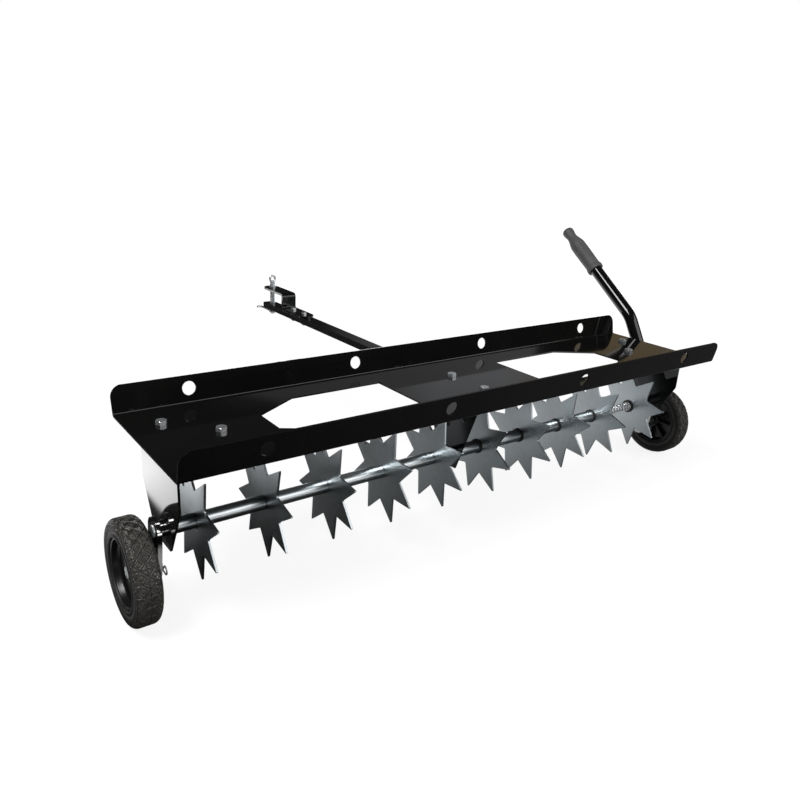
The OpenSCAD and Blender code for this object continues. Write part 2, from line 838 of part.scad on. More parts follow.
// Flat bar with round ends from the rod to a length below it, as a flat shape in Y and Z
module round_bar_shape(w, l) {
    translate([-w / 2, -l]) square([w, l]);
    circle(d = w);
    translate([0, -l]) circle(d = w);
}

module crank_arm(side) {
    color(zinc) on_crank() on_side(side) {
        along_x(arm_in, arm_t) difference() {
            round_bar_shape(arm_w, crank_l);
            double_d(thread_play);
            translate([0, -crank_l]) circle(d = axle_d + 2 * thread_play);
        }
        tube_x(plate_x + slack, arm_in, boss_d, rod_d + 2 * thread_play);
    }
}

module crank_arm_left() { crank_arm(-1); }
module crank_arm_right() { crank_arm(1); }

// Moves to the lever's bend, with Y along its upper part
module lever_top() {
    rotate([lever_low_slope, 0, 0]) translate([0, lever_low_l, 0])
        rotate([lever_top_slope - lever_low_slope, 0, 0]) children();
}

// The lever's centre line: a straight, a round bend in short steps and a straight, each
// point as [y, z, slope], with both ends longer by a given length
bend_steps = 8;
bend_turn = lever_low_slope - lever_top_slope;
bend_run = lever_bend_r * tan(bend_turn / 2);
bend_from = (lever_low_l - bend_run) * [cos(lever_low_slope), sin(lever_low_slope)];
bend_centre = bend_from + lever_bend_r * [sin(lever_low_slope), -cos(lever_low_slope)];
lever_corner = lever_low_l * [cos(lever_low_slope), sin(lever_low_slope)];
function lever_path(grow) = concat(
    [[(lever_start - grow) * cos(lever_low_slope), (lever_start - grow) * sin(lever_low_slope),
        lever_low_slope]],
    [for (k = [0 : bend_steps]) let (slope = lever_low_slope - bend_turn * k / bend_steps)
        concat(bend_centre + lever_bend_r * [-sin(slope), cos(slope)], [slope])],
    [let (l = lever_top_l - grip_solid_l + grow)
        concat(lever_corner + l * [cos(lever_top_slope), sin(lever_top_slope)], [lever_top_slope])]
);
lever_sides = 32;
module lever_line(d, grow) {
    skin([for (p = lever_path(grow)) [for (s = [0 : lever_sides - 1]) let (b = 360 * s / lever_sides)
        [0, p[0], p[1]] + d / 2 * [cos(b), sin(b) * sin(p[2]), -sin(b) * cos(p[2])]]]);
}

module lever() {
    color(enamel) on_rod() difference() {
        union() {
            translate([lever_x, 0, 0]) lever_line(lever_d, 0);
            rotate([lever_low_slope - 90, 0, 0]) mirror([0, 0, 1])
                along_x(lever_foot_x, lever_foot_t) round_bar_shape(arm_w, lever_foot_l);
        }
        translate([lever_x, 0, 0]) lever_line(lever_d - 2 * lever_wall, 1);
        rotate([crank_lean, 0, 0]) along_x(lever_foot_x - 1, lever_foot_t + 2) double_d(thread_play);
    }
}

// Outline of the grip as radius and distance from its tip: a soft wave from the tip to the neck,
// then one from the neck to the palm
grip_edge = 4;
grip_swell_l = 24;
function wave(t, from, to) = from + (to - from) * (1 - cos(180 * t)) / 2;
grip_outline = [
    for (t = [0 : 0.25 : 1]) [
        wave(t, grip_tip_d, grip_neck_d) / 2,
        grip_edge + t * (grip_neck_l - grip_edge)
    ],
    for (t = [1 : 6]) [
        wave(t / 6, grip_neck_d, grip_d) / 2,
        grip_neck_l + t / 6 * grip_swell_l
    ]
];

module lever_grip() {
    collar_l = 8;
    heel_r = grip_d / 2 - 0.7;
    collar_r = grip_collar_d / 2;
    color(rubber) on_rod() translate([lever_x, 0, 0]) lever_top()
        translate([0, lever_top_l, 0]) rotate([90, 0, 0]) difference() {
            rotate_extrude() polygon(concat(
                [[0, 0], [0.75 * grip_tip_d / 2, 0]],
                grip_outline,
                [[heel_r, grip_l * 0.7], [heel_r, grip_l - collar_l - 2],
                 [collar_r, grip_l - collar_l], [collar_r, grip_l - 1],
                 [collar_r - 1, grip_l], [0, grip_l]]
            ));
            translate([0, 0, grip_solid_l]) cylinder(d = grip_bore, h = grip_l);
        }
}

// Ends of a wheel's hub, measured outward from the wheel's inner face
hub_in = 1;
hub_out = wheel_w - rim_dish;

// Places a wheel's piece whose own Z runs outward from the wheel's inner face
module at_wheel(side) {
    space = side > 0 ? right_wheel_space : left_wheel_space;
    on_crank() translate([side * (arm_out + space), 0, -crank_l]) rotate([0, side * 90, 0]) children();
}

module tyre(side) {
    b = tyre_bevel;
    bead_bevel = 2;
    bead_r = rim_r + 2 * bead_bevel;
    color(rubber) at_wheel(side) rotate_extrude($fn = 96) polygon([
        [rim_r, bead_bevel], [bead_r, 0], [tyre_r - b, 0], [tyre_r, b],
        [tyre_r, wheel_w - b], [tyre_r - b, wheel_w],
        [bead_r, wheel_w], [rim_r, wheel_w - bead_bevel]
    ]);
}

module tyre_left() { tyre(-1); }
module tyre_right() { tyre(1); }

module rim(side) {
    bead = rim_r - thread_play;
    web = wheel_w - rim_dish - rim_web;
    inner = rim_r - rim_wall;
    f = 3;
    color(plastic) at_wheel(side) difference() {
        rotate_extrude($fn = 96) polygon([
            [0, hub_in], [hub_d / 2, hub_in], [hub_d / 2 + f - 1, web - f + 1],
            [hub_d / 2 + f + 1, web], [inner - f, web], [inner, web - f], [inner, f], [bead, f],
            [bead, wheel_w - f], [inner, wheel_w - f], [inner, hub_out + f],
            [inner - f, hub_out], [hub_d / 2, hub_out], [0, hub_out]
        ]);
        translate([0, 0, -1]) cylinder(d = wheel_bush_d + 2 * thread_play, h = wheel_w + 2);
    }
}

module rim_left() { rim(-1); }
module rim_right() { rim(1); }

module wheel_bush(side) {
    color(galvanised) at_wheel(side) difference() {
        translate([0, 0, hub_in]) cylinder(d = wheel_bush_d, h = hub_out - hub_in);
        cylinder(d = axle_d + 2 * run, h = wheel_w);
    }
}

module wheel_bush_left() { wheel_bush(-1); }
module wheel_bush_right() { wheel_bush(1); }

// Depth of the axle's cross hole, measured inward from the wheel's inner face
function clip_depth(space) = space + arm_t + arm_space / 2 - 0.6;

module wheel_axle(side) {
    space = side > 0 ? right_wheel_space : left_wheel_space;
    inner_end = space + arm_t + arm_space - 0.8;
    head_d = axle_d + 4;
    head_h = 3;
    crown_h = 1;
    color(zinc) at_wheel(side) difference() {
        union() {
            translate([0, 0, -inner_end])
                cylinder(d = axle_d, h = inner_end + hub_out + slack + crown_h);
            translate([0, 0, hub_out + slack]) cylinder(d = head_d, h = head_h);
            translate([0, 0, hub_out + slack + head_h])
                cylinder(d1 = head_d, d2 = head_d - 2 * crown_h, h = crown_h);
        }
        translate([0, 0, -clip_depth(space)]) rotate([90, 0, 0])
            cylinder(d = axle_clip_wire + 0.4, h = axle_d + 2, center = true);
    }
}

module wheel_axle_left() { wheel_axle(-1); }
module wheel_axle_right() { wheel_axle(1); }

module axle_spacers() {
    color(galvanised) for (side = [-1, 1]) {
        space = side > 0 ? right_wheel_space : left_wheel_space;
        at_wheel(side) translate([0, 0, -space]) difference() {
            cylinder(d = axle_d + 6, h = space + hub_in - slack);
            translate([0, 0, -1]) cylinder(d = axle_d + 2 * thread_play, h = space + 3);
        }
    }
}

module axle_clips() {
    color(zinc) for (side = [-1, 1]) {
        space = side > 0 ? right_wheel_space : left_wheel_space;
        at_wheel(side) translate([0, 0, -clip_depth(space)]) rotate([0, 0, -90])
            hairpin(axle_clip_wire, axle_d, axle_clip_reach, axle_clip_tail);
    }
}

tray();
end_plate_left();
end_plate_right();
centre_hanger();
tow_tube();
tube_plugs();
hitch_strap();
hitch_pin();
hitch_clip();
hitch_bolts();
hitch_nuts();
tray_bolts();
tray_nuts();
cross_rod();
rod_nut();
star_1();
star_2();
star_3();
star_4();
star_5();
star_6();
star_7();
star_8();
star_9();
star_10();
spacer_1();
spacer_2();
spacer_3();
spacer_4();
spacer_5();
spacer_6();
spacer_7();
spacer_8();
spacer_9();
spacer_10();
spacer_11();
compression_spring();
rod_washers();
plate_bush_left();
plate_bush_right();
hanger_bush();
crank_arm_left();
crank_arm_right();
lever();
lever_grip();
wheel_axle_left();
wheel_axle_right();
axle_spacers();
axle_clips();
tyre_left();
tyre_right();
rim_left();
rim_right();
wheel_bush_left();
wheel_bush_right();
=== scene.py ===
"""Looks of a tow behind lawn aerator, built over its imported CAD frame.

The file is laid out as an add-on and run as a script. All sizes are in metres, in the
frame's own axes: X along the rod to the lever, Y forward along the drawbar, Z up.
"""

import math

import bpy
import numpy as np
from mathutils import Matrix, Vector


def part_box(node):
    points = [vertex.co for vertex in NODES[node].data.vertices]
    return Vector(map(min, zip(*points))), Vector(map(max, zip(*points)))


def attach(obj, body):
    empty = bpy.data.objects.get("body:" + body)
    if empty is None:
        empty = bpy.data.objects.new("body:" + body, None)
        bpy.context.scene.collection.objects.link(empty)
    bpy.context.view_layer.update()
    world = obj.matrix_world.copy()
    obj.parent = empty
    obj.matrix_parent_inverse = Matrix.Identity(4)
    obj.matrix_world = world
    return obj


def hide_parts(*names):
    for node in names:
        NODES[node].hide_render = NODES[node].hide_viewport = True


bl_info = {
    "name": "Tow behind aerator",
    "version": (1, 0, 0),
    "blender": (4, 5, 0),
    "location": "View3D > Sidebar > Aerator",
    "description": "Dresses the CAD frame of a lawn aerator with its finished surfaces",
    "category": "Add Mesh",
}

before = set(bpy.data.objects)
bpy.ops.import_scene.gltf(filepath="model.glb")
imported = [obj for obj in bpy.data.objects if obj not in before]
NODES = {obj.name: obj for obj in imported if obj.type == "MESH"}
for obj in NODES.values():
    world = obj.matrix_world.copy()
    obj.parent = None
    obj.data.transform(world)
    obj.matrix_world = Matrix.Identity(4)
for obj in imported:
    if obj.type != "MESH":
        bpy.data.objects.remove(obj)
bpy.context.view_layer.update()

STARS = [f"star_{i}" for i in range(1, 11)]
SPACERS = [f"spacer_{i}" for i in range(1, 12)]
SIDES = {"left": -1, "right": 1}

# The usual round on an edge, and the depth of a fine grain
EDGE = 0.0003
GRAIN_DEPTH = 0.00003


# Sizes read from the frame


def middle(node):
    """Middle of a CAD node's box, as an array."""
    low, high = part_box(node)
    return (np.array(low) + np.array(high)) / 2


def span(node):
    """Lengths of a CAD node's box, as an array."""
    low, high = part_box(node)
    return np.array(high) - np.array(low)


ROD = middle("cross_rod")


# Colours and materials


def linear(hex_colour):
    """Linear RGBA of an sRGB hex colour: c / 12.92 up to 0.04045, and above it
    ((c + 0.055) / 1.055) ** 2.4."""
    c = np.array([int(hex_colour[i : i + 2], 16) for i in (1, 3, 5)]) / 255
    c = np.where(c <= 0.04045, c / 12.92, ((c + 0.055) / 1.055) ** 2.4)
    return (*(float(v) for v in c), 1.0)


def add(tree, kind, inputs=None, **settings):
    """Adds a node, gives it its settings, and sets or links its inputs."""
    made = tree.nodes.new(kind)
    for name, value in settings.items():
        setattr(made, name, value)
    for name, value in (inputs or {}).items():
        if isinstance(value, bpy.types.NodeSocket):
            tree.links.new(value, made.inputs[name])
        else:
            made.inputs[name].default_value = value
    return made


def noise(tree, place, scale, detail=2.0):
    """Output of a cloudy noise, from 0 to 1, with about scale clouds to each unit of place."""
    return add(tree, "ShaderNodeTexNoise", {
        "Vector": place, "Scale": scale, "Detail": detail}).outputs["Fac"]


def ranged(tree, value, low, high, at_low, at_high):
    """Output that runs from at_low to at_high while the value runs from low to high."""
    return add(tree, "ShaderNodeMapRange", {
        "Value": value, "From Min": low, "From Max": high,
        "To Min": at_low, "To Max": at_high}).outputs["Result"]


def ranged_colour(tree, value, low, high, at_low, at_high):
    """The same for a colour, whose three parts run alike."""
    return add(tree, "ShaderNodeMapRange", {
        "Vector": value, "From Min": (low,) * 3, "From Max": (high,) * 3,
        "To Min": at_low[:3], "To Max": at_high[:3]}, data_type="FLOAT_VECTOR").outputs["Vector"]


def mixed(tree, share, first, second):
    """Output of two colours mixed by the share of the second."""
    return add(tree, "ShaderNodeMixRGB", {
        "Fac": share, "Color1": first, "Color2": second}).outputs["Color"]


def relief(tree, height, strength, depth):
    """Normal of a surface whose height, from 0 to 1, is that many metres deep."""
    return add(tree, "ShaderNodeBump", {
        "Height": height, "Strength": strength, "Distance": depth}).outputs["Normal"]


def maths(tree, operation, *values):
    """Output of one Math node."""
    return add(tree, "ShaderNodeMath", dict(enumerate(values)), operation=operation).outputs[0]


def principled(tree, colour, roughness, normal=None, **more):
    """Output of a Principled shader. A word in more, such as Metallic, names one of its sockets."""
    inputs = {"Base Color": colour, "Roughness": roughness, **more}
    if normal is not None:
        inputs["Normal"] = normal
    return add(tree, "ShaderNodeBsdfPrincipled", inputs).outputs["BSDF"]


def new_material(name, surface):
    """A material whose surface socket comes from surface(tree, the piece's own coordinates)."""
    made = bpy.data.materials.get(name)
    if made:
        return made
    made = bpy.data.materials.new(name)
    made.use_nodes = True
    tree = made.node_tree
    tree.nodes.clear()
    place = add(tree, "ShaderNodeTexCoord").outputs["Object"]
    shader = surface(tree, place)
    add(tree, "ShaderNodeOutputMaterial", {"Surface": shader})
    return made


def powder_coated_steel():
    """Folded mild steel, electrostatically powder coated in gloss black and oven cured: deep
    black with clear reflections, softened by a faint orange peel of about 2 mm."""

    def surface(tree, place):
        coat = (*bpy.context.scene.aerator_colours.powder_coat, 1)
        haze = noise(tree, place, 9.0, 4.0)
        return principled(
            tree, mixed(tree, haze, coat, linear("#121110")),
            ranged(tree, haze, 0.3, 0.7, 0.04, 0.09),
            relief(tree, noise(tree, place, 480.0), 0.2, GRAIN_DEPTH), IOR=1.5)

    return new_material("gloss_black_powder_coat", surface)


def galvanised_sheet():
    """Laser-cut galvanised sheet: satin zinc grey, with a spangle of crystals some 7 mm wide that
    differ a little in shade and in sheen, and fine rolling lines."""

    def surface(tree, place):
        zinc = bpy.context.scene.aerator_colours.galvanised
        cells = add(tree, "ShaderNodeTexVoronoi", {"Vector": place, "Scale": 140.0})
        shade = mixed(tree, 0.7, cells.outputs["Color"], noise(tree, place, 22.0, 3.0))
        grey = add(tree, "ShaderNodeRGBToBW", {"Color": shade}).outputs["Val"]
        stretched = add(tree, "ShaderNodeMapping", {"Vector": place, "Scale": (1, 60, 1400)})
        lines = noise(tree, stretched.outputs["Vector"], 1.0)
        return principled(
            tree, ranged_colour(tree, grey, 0.2, 0.8, zinc, linear("#bac1c4")),
            ranged(tree, grey, 0.2, 0.8, 0.26, 0.34),
            relief(tree, lines, 0.2, GRAIN_DEPTH), Metallic=1.0)

    return new_material("galvanised_steel_sheet", surface)


def drawn_tube():
    """Cold drawn steel tube, zinc plated: bright, with the die's fine lines along its length."""

    def surface(tree, place):
        along = add(tree, "ShaderNodeMapping", {"Vector": place, "Scale": (14, 900, 900)})
        lines = noise(tree, along.outputs["Vector"], 1.0, 3.0)
        return principled(
            tree, mixed(tree, lines, linear("#b4bbbe"), linear("#e2e7e8")), 0.34,
            relief(tree, lines, 0.4, 0.00004), Metallic=1.0)

    return new_material("zinc_plated_drawn_tube", surface)


def rolled_flat_bar():
    """Hot rolled flat bar of the crank arms, zinc plated: pale and satin, with a soft cloudiness,
    and turned bright, so that it mirrors the dark tyre, within 24 mm of the rod."""

    def surface(tree, place):
        cloud = noise(tree, place, 60.0, 4.0)
        satin = ranged(tree, cloud, 0.3, 0.7, 0.34, 0.46)
        flat = add(tree, "ShaderNodeVectorMath", {0: place, 1: (0, 1, 1)}, operation="MULTIPLY")
        away = add(tree, "ShaderNodeVectorMath", {
            0: flat.outputs["Vector"], 1: (0, ROD[1], ROD[2])}, operation="DISTANCE")
        turned = ranged(tree, away.outputs["Value"], 0.019, 0.024, 1.0, 0.0)
        metal = maths(tree, "MULTIPLY_ADD", turned, 0.65, 0.35)
        gloss = maths(tree, "MULTIPLY", satin, maths(tree, "MULTIPLY_ADD", turned, -0.7, 1.0))
        return principled(
            tree, mixed(tree, cloud, linear("#d2d4d2"), linear("#eeefec")), gloss,
            relief(tree, noise(tree, place, 900.0), 0.2, GRAIN_DEPTH), Metallic=metal)

    return new_material("zinc_plated_rolled_flat_bar", surface)


def zinc_plating():
    """Bright zinc plating on turned and forged steel: clear but soft reflections, slightly cloudy,
    with a fine grain of about 0.4 mm from barrel plating."""

    def surface(tree, place):
        zinc = (*bpy.context.scene.aerator_colours.zinc, 1)
        cloud = noise(tree, place, 70.0, 4.0)
        return principled(
            tree, mixed(tree, cloud, zinc, linear("#b9bdc0")),
            ranged(tree, cloud, 0.3, 0.7, 0.18, 0.34),
            relief(tree, noise(tree, place, 2600.0, 1.0), 0.15, GRAIN_DEPTH), Metallic=0.85)

    return new_material("bright_zinc_plating", surface)


def spring_wire():
    """Drawn spring wire, zinc plated: pale, and brighter than the rod that it is wound around, with
    a fine speckle of 0.2 mm."""

    def surface(tree, place):
        speckle = noise(tree, place, 5000.0, 1.0)
        return principled(
            tree, mixed(tree, speckle, linear("#e4e7e8"), linear("#f6f7f7")), 0.3, Metallic=0.7)

    return new_material("zinc_plated_spring_wire", surface)


def moulded_rubber(name, colour_of, rough, grain_mm, depth_mm):
    """Vulcanised rubber from a mould: dull, and grained as the mould's blasted wall."""

    def surface(tree, place):
        colour = (*colour_of(bpy.context.scene.aerator_colours), 1)
        dust = noise(tree, place, 35.0, 5.0)
        grain = noise(tree, place, 1000 / grain_mm, 3.0)
        return principled(
            tree, mixed(tree, dust, colour, linear("#3a3937")), rough,
            relief(tree, grain, 0.5, depth_mm / 1000), IOR=1.52)

    return new_material(name, surface)


def tyre_rubber():
    """Carbon-black rubber of a solid wheel tyre: blasted grain of 0.8 mm, dull in the grooves,
    smoother on the raised lozenges, which a painted sheen makes paler, and with a painted highlight
    that makes their edges palest."""

    def surface(tree, place):
        colour = (*bpy.context.scene.aerator_colours.tyre, 1)
        raised = add(tree, "ShaderNodeAttribute", attribute_name="raised").outputs["Fac"]
        pointed = add(tree, "ShaderNodeNewGeometry").outputs["Pointiness"]
        # Painted sheen: the raised lozenges are coloured paler than the grooves
        top = mixed(tree, raised, colour, linear("#34322f"))
        # Painted highlight: the sharpest convex edges, picked by pointiness, are coloured palest
        edge_highlight = ranged(tree, pointed, 0.51, 0.60, 0.0, 0.75)
        return principled(
            tree, mixed(tree, edge_highlight, top, linear("#85817a")),
            ranged(tree, raised, 0.0, 1.0, 0.6, 0.28),
            relief(tree, noise(tree, place, 1250.0, 3.0), 0.5, GRAIN_DEPTH), IOR=1.52)

    return new_material("carbon_black_tyre_rubber", surface)


def grip_rubber():
    """Soft thermoplastic rubber of the lever's grip, dark grey and matt."""
    return moulded_rubber("grey_grip_rubber", lambda c: c.grip, 0.6, 0.6, 0.008)


def washer_rubber():
    """Cut nitrile rubber of the rod's washers: near black and dull."""
    return moulded_rubber("nitrile_washer_rubber", lambda c: c.tyre, 0.6, 0.7, 0.03)


def moulded_polypropylene():
    """Injection moulded polypropylene of the rims, plugs and bushes: black with a soft sheen and
    the faint flow marks of its mould."""

    def surface(tree, place):
        plastic = (*bpy.context.scene.aerator_colours.plastic, 1)
        flow = noise(tree, place, 55.0, 3.0)
        return principled(
            tree, plastic, ranged(tree, flow, 0.3, 0.7, 0.30, 0.42),
            relief(tree, noise(tree, place, 1500.0), 0.3, GRAIN_DEPTH), IOR=1.49)

    return new_material("moulded_black_polypropylene", surface)


# Meshes


def dress(piece, material):
    """Gives a piece one material and smooth faces."""
    piece.data.materials.clear()
    piece.data.materials.append(material)
    piece.data.polygons.foreach_set("use_smooth", np.ones(len(piece.data.polygons), bool))
    return piece


def finish_node(name, material, edge=EDGE, angle=35.0):
    """Dresses a CAD node as it is: its loose triangles are welded, flat ones are joined, and each
    edge sharper than the angle gets a small round that catches the light."""
    piece = dress(NODES[name], material)
    piece.modifiers.new("join corners", "WELD").merge_threshold = 1e-6
    flat = piece.modifiers.new("join flat faces", "DECIMATE")
    flat.decimate_type = "DISSOLVE"
    flat.angle_limit = math.radians(0.4)
    round_edge = piece.modifiers.new("break the edges", "BEVEL")
    round_edge.width = edge
    round_edge.segments = 2
    round_edge.limit_method = "ANGLE"
    round_edge.angle_limit = math.radians(angle)
    round_edge.miter_outer = "MITER_ARC"
    shade = piece.modifiers.new("flat faces stay flat", "WEIGHTED_NORMAL")
    shade.keep_sharp = False
    shade.weight = 100
    return piece


def surface_mesh(name, points, wrap_rows=False, caps=False):
    """A mesh over a grid of points, rows by columns, whose columns close into a ring. The last
    row joins the first where rows wrap, and each end row is closed by a face where caps is set."""
    rows, cols = points.shape[:2]
    index = np.arange(rows * cols).reshape(rows, cols)
    below, above = (index, np.roll(index, -1, 0)) if wrap_rows else (index[:-1], index[1:])
    quads = np.stack([below, np.roll(below, -1, 1), np.roll(above, -1, 1), above], -1)
    faces = quads.reshape(-1, 4).tolist()
    if caps:
        faces += [index[0, ::-1].tolist(), index[-1].tolist()]
    mesh = bpy.data.meshes.new(name)
    mesh.from_pydata(points.reshape(-1, 3), [], faces)
    mesh.validate()
    piece = bpy.data.objects.new(name, mesh)
    bpy.context.scene.collection.objects.link(piece)
    return piece


def carried(path, outward, radius, sides=12):
    """A round section carried along a path: each point is path + radius * (cos(b) * outward' +
    sin(b) * third), where outward' is the outward vector made square to the path's direction."""
    along = np.gradient(path, axis=0)
    along /= np.linalg.norm(along, axis=1, keepdims=True)
    out = outward - (outward * along).sum(1, keepdims=True) * along
    out /= np.linalg.norm(out, axis=1, keepdims=True)
    third = np.cross(along, out)
    b = np.linspace(0, 2 * math.pi, sides, endpoint=False)
    radius = np.broadcast_to(np.asarray(radius, float).reshape(-1, 1, 1), (len(path), 1, 1))
    return path[:, None] + radius * (
        np.cos(b)[None, :, None] * out[:, None] + np.sin(b)[None, :, None] * third[:, None])


def smooth_step(t):
    """3 t^2 - 2 t^3 of t held between 0 and 1."""
    t = np.clip(t, 0, 1)
    return t * t * (3 - 2 * t)


# The wheels


def wheel_frame(side):
    """Place of a wheel: (x of its inner face, its sign along X, its middle)."""
    sign = SIDES[side]
    centre = middle("tyre_" + side)
    width = span("tyre_" + side)[0]
    return centre[0] - sign * width / 2, sign, centre


def lozenges(around, across, pitch):
    """Height of the tread from 0 to 1, in two rows of square cells side by side. In each cell,
    d = |u| + |v| from its middle, in pitches: a raised lozenge up to d = 0.19, a groove, a raised
    ring from 0.26 to 0.42, a groove, and raised corners from 0.52. Each passes into its groove
    within one slope."""
    u = np.abs((around / pitch + 0.5) % 1 - 0.5)
    v = np.abs((across / pitch) % 1 - 0.5)
    d = u + v
    slope = 0.035
    heart = 1 - smooth_step((d - 0.19) / slope)
    ring = smooth_step((d - 0.26) / slope) * (1 - smooth_step((d - 0.42) / slope))
    off_side = np.minimum(0.5 - u, 0.5 - v)
    corner = smooth_step((d - 0.52) / slope) * smooth_step((off_side - 0.015) / slope)
    return np.maximum(np.maximum(heart, ring), corner)


def make_tyre(side):
    """Surface of revolution (depth(s), radius(s)) whose shoulders are quarter circles. The tread's
    grooves, depth * (1 - lozenges(angle * radius, s)), are taken off square to the surface: off the
    radius on the tread, and turning to the depth over the shoulders, where they fade out. The
    lozenges' height is kept on the mesh as the attribute raised."""
    sizes = bpy.context.scene.aerator_sizes
    x, sign, centre = wheel_frame(side)
    width, outer = span("tyre_" + side)[0], span("tyre_" + side)[2] / 2
    inner = span("rim_" + side)[2] / 2
    shoulder_r = 0.0085
    steps, tread_rows = 756, 40  # 28 steps to each of 27 lozenges
    wall = np.array([
        (0.0020, inner), (0.0005, inner + 0.0012), (0.0000, inner + 0.0032),
        (0.0004, inner + 0.0050), (0.0012, inner + 0.0058), (0.0014, inner + 0.0080),
        (0.0006, inner + 0.0095), (0.0000, inner + 0.0110), (0.0000, outer - shoulder_r - 0.0008)])
    b = np.linspace(0, math.pi / 2, 22)
    shoulder = np.stack([
        shoulder_r * (1 - np.cos(b)), outer - shoulder_r * (1 - np.sin(b))], -1)
    flat = np.linspace(shoulder_r, width - shoulder_r, tread_rows)
    tread = np.stack([flat, np.full(tread_rows, outer)], -1)[1:-1]
    half = np.concatenate([wall, shoulder])
    profile = np.concatenate([half, tread, np.stack([width - half[::-1, 0], half[::-1, 1]], -1)])
    a = np.linspace(0, 2 * math.pi, steps, endpoint=False)[None, :]
    depth, radius = profile.T
    line = np.concatenate([[0], np.cumsum(np.hypot(np.diff(depth), np.diff(radius)))])
    across = (line - line[-1] / 2)[:, None]
    pitch = 2 * math.pi * outer / sizes.tread_lozenges
    around = a * outer
    edge = line[-1] / 2 - line[len(wall)]
    reach = smooth_step((edge - 0.0015 - np.abs(across)) / 0.0012)
    raised = reach * lozenges(around, across, pitch)
    hollow = sizes.tread_depth * (reach - raised)
    tilt = np.clip((radius - outer + shoulder_r) / shoulder_r, 0, 1)[:, None]
    r = radius[:, None] - hollow * np.sin(tilt * math.pi / 2)
    inward = np.where(across < 0, 1, -1) * hollow * (1 - tilt)
    depth = depth[:, None] + inward
    points = np.stack([
        x + sign * depth, centre[1] + r * np.sin(a * sign), centre[2] + r * np.cos(a * sign)], -1)
    piece = surface_mesh("tread_tyre_" + side, points, wrap_rows=True)
    height = piece.data.attributes.new("raised", "FLOAT", "POINT")
    height.data.foreach_set("value", raised.astype(np.float32).ravel())
    return piece


def make_rim(side):
    """Surface of revolution whose inner hollow is filled up to the ribs: depth(r) - rib * rise(r),
    where rib is 1 on eight narrow bars and falls to 0 beside them."""
    x, sign, centre = wheel_frame(side)
    width = span("tyre_" + side)[0]
    bead = span("rim_" + side)[2] / 2
    bush = span("wheel_bush_" + side)[2] / 2
    inner = bead - 0.003
    dish = 0.013
    web = width - dish - 0.005
    profile = np.array([
        (0.001, bush + 0.0002), (0.001, 0.0127), (0.0016, 0.0135), (web - 0.003, 0.0153),
        (web - 0.0012, 0.0162), (web, 0.0180), (web, 0.0220), (web, 0.0260), (web, 0.0300),
        (web, 0.0340), (web, inner - 0.0045), (web - 0.0010, inner - 0.0018),
        (web - 0.0035, inner - 0.0004), (0.0044, inner), (0.0034, inner + 0.0004),
        (0.0030, inner + 0.0012), (0.0030, bead - 0.0006), (0.0036, bead),
        (width - 0.0036, bead), (width - 0.0030, bead - 0.0006),
        (width - 0.0030, inner + 0.0012), (width - 0.0034, inner + 0.0004), (width - 0.0044, inner),
        (width - dish + 0.0035, inner - 0.0006), (width - dish + 0.0010, inner - 0.0022),
        (width - dish, inner - 0.0050), (width - dish, 0.0340), (width - dish, 0.0280),
        (width - dish, 0.0220), (width - dish + 0.0006, 0.0190), (width - dish + 0.0006, 0.0150),
        (width - dish, 0.0140), (width - dish, bush + 0.0002)])
    steps, ribs, top, face_points = 512, 8, 0.0060, 13
    a = np.linspace(0, 2 * math.pi, steps, endpoint=False)[None, :]
    depth, radius = profile.T
    depth = np.broadcast_to(depth[:, None], (len(radius), steps))
    away = np.abs((a * ribs / (2 * math.pi) + 0.5) % 1 - 0.5) * 2 * math.pi / ribs * radius[:, None]
    rib = 1 - smooth_step((away - 0.0014) / 0.0010)
    inner_face = np.arange(len(radius)) < face_points
    hollow = ((radius > 0.0150) & (radius < inner - 0.0002) & inner_face)[:, None]
    depth = np.where(hollow, depth - rib * np.maximum(depth - top, 0), depth)
    points = np.stack([
        x + sign * depth, centre[1] + radius[:, None] * np.sin(a * sign),
        centre[2] + radius[:, None] * np.cos(a * sign)], -1)
    return surface_mesh("dished_rim_" + side, points, wrap_rows=True)


# Wire pieces


def make_spring():
    """Helix about the rod: x runs with the turns, slowly in the closed end turns and evenly
    between, y = r cos(2 pi n), z = r sin(2 pi n), for n from 0 to the number of turns."""
    sizes = bpy.context.scene.aerator_sizes
    low, high = (np.array(v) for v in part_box("compression_spring"))
    wire = 0.0018
    r = (high[2] - low[2]) / 2 - wire / 2
    turns = sizes.spring_turns
    n = np.linspace(0, turns, int(turns * 40) + 1)
    closed, ease = 0.6, 0.8
    pace = 0.04 + smooth_step((n - closed) / ease) * smooth_step((turns - closed - n) / ease)
    run = np.concatenate([[0], np.cumsum((pace[1:] + pace[:-1]) / 2)])
    x = low[0] + wire / 2 + run / run[-1] * (high[0] - low[0] - wire)
    y, z = np.cos(2 * math.pi * n), np.sin(2 * math.pi * n)
    path = np.stack([x, ROD[1] + r * y, ROD[2] + r * z], -1)
    outward = np.stack([np.zeros_like(y), y, z], -1)
    return surface_mesh("coil_spring", carried(path, outward, wire / 2, 12), caps=True)


